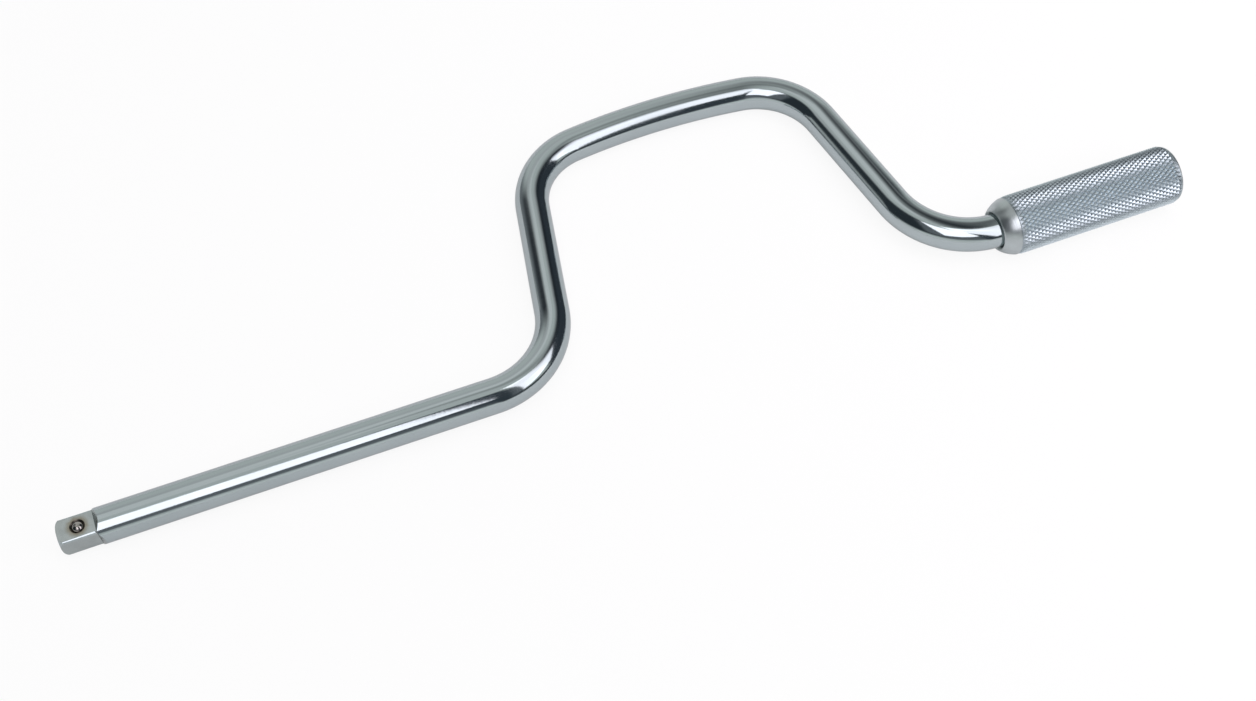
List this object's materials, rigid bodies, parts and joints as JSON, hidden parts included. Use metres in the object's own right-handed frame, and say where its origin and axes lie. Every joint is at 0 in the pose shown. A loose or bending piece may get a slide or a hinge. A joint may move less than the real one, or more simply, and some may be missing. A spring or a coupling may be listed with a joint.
{
  "type": "speed handle",
  "caption": "Cranked speed handle: a bent round bar with a square drive end, a sprung retaining ball and a free-turning knurled grip, for spinning sockets on or off quickly.",
  "frame": {"origin": "centre of the square drive's end face", "axes": "+X along the drive axis towards the grip, +Y the way the crank bows, +Z out of the flat that holds the ball"},
  "size_m": [0.4334, 0.1172, 0.0232],
  "materials": {
    "bar_chrome": "polished bright chrome plate on forged steel",
    "ball_steel": "polished dark bearing steel",
    "spring_steel": "drawn spring steel, lightly oiled",
    "grip_satin": "satin chrome plate over a diamond knurl",
    "bush_bronze": "plain sintered bronze",
    "washer_steel": "plain ground steel"
  },
  "bodies": {
    "crank": {"crank_bar": "bar_chrome", "detent_spring": "spring_steel", "front_thrust_washer": "washer_steel", "rear_thrust_washer": "washer_steel", "retaining_ring": "spring_steel"},
    "ball": {"detent_ball": "ball_steel"},
    "grip": {"grip_sleeve": "grip_satin", "front_bush": "bush_bronze", "rear_bush": "bush_bronze", "end_plug": "grip_satin"}
  },
  "joints": [
    {"name": "grip_spin", "type": "hinge", "parent": "crank", "child": "grip", "pos_m": [0.3577, 0, 0], "axis": [1, 0, 0], "continuous": true},
    {"name": "ball_press", "type": "slide", "parent": "crank", "child": "ball", "axis": [0, 0, -1], "range_m": [0, 0.00095], "stiffness_N_per_m": 2500, "springref_m": -0.0008, "deforming": ["detent_spring"]}
  ]
}
